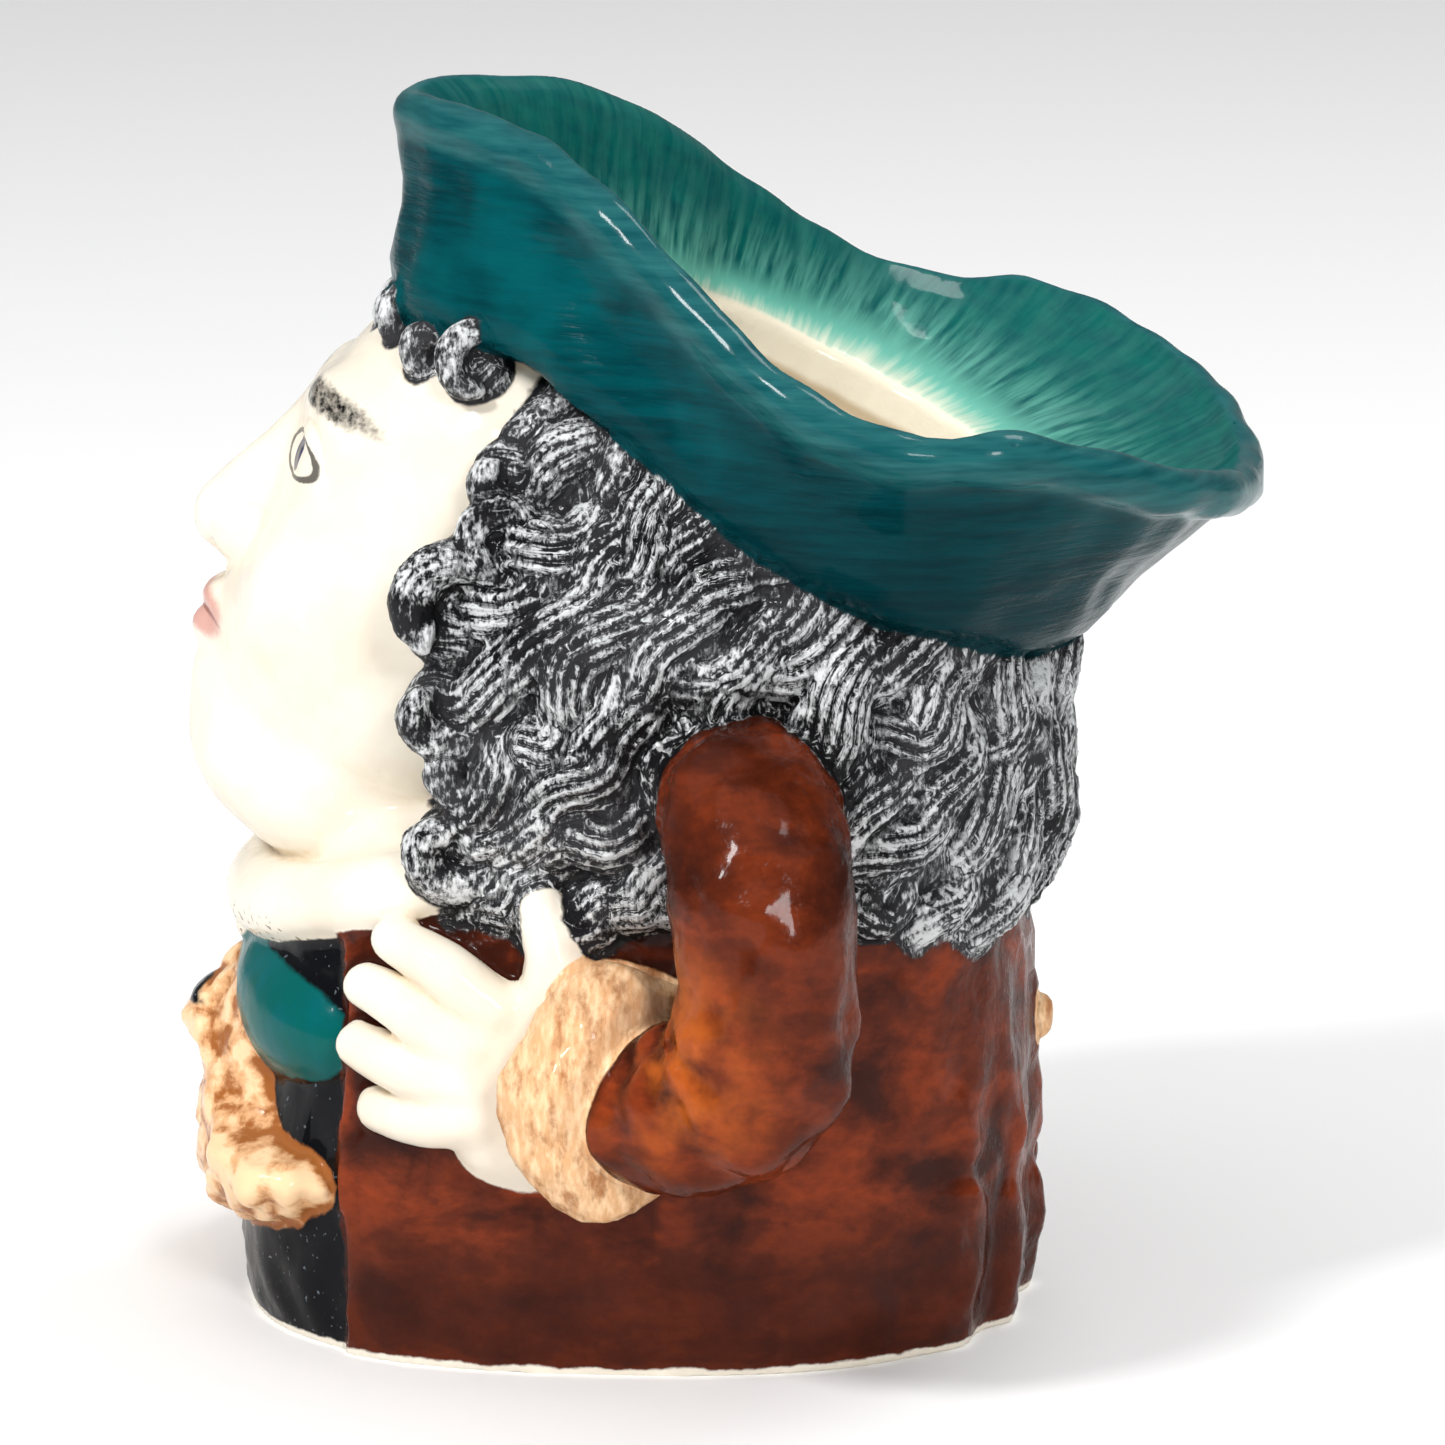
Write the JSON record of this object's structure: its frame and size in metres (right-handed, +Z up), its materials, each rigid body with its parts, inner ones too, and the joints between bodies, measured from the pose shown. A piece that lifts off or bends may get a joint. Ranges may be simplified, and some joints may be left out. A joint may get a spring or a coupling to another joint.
{
  "type": "toby jug",
  "caption": "Small glazed and hand-painted toby jug: a stout figure in a long coat, hands on the belly, with a teal cocked hat whose turned-up brim is the mouth.",
  "frame": {"origin": "middle of the flat underside that the jug stands on", "axes": "+Z up; the figure faces -Y; the figure's left arm is at +X"},
  "size_m": [0.1362, 0.1277, 0.1436],
  "materials": {
    "glazed_pottery": "clear gloss glaze over hand-painted colours"
  },
  "bodies": {
    "root": {"toby_jug": "glazed_pottery"}
  },
  "joints": []
}
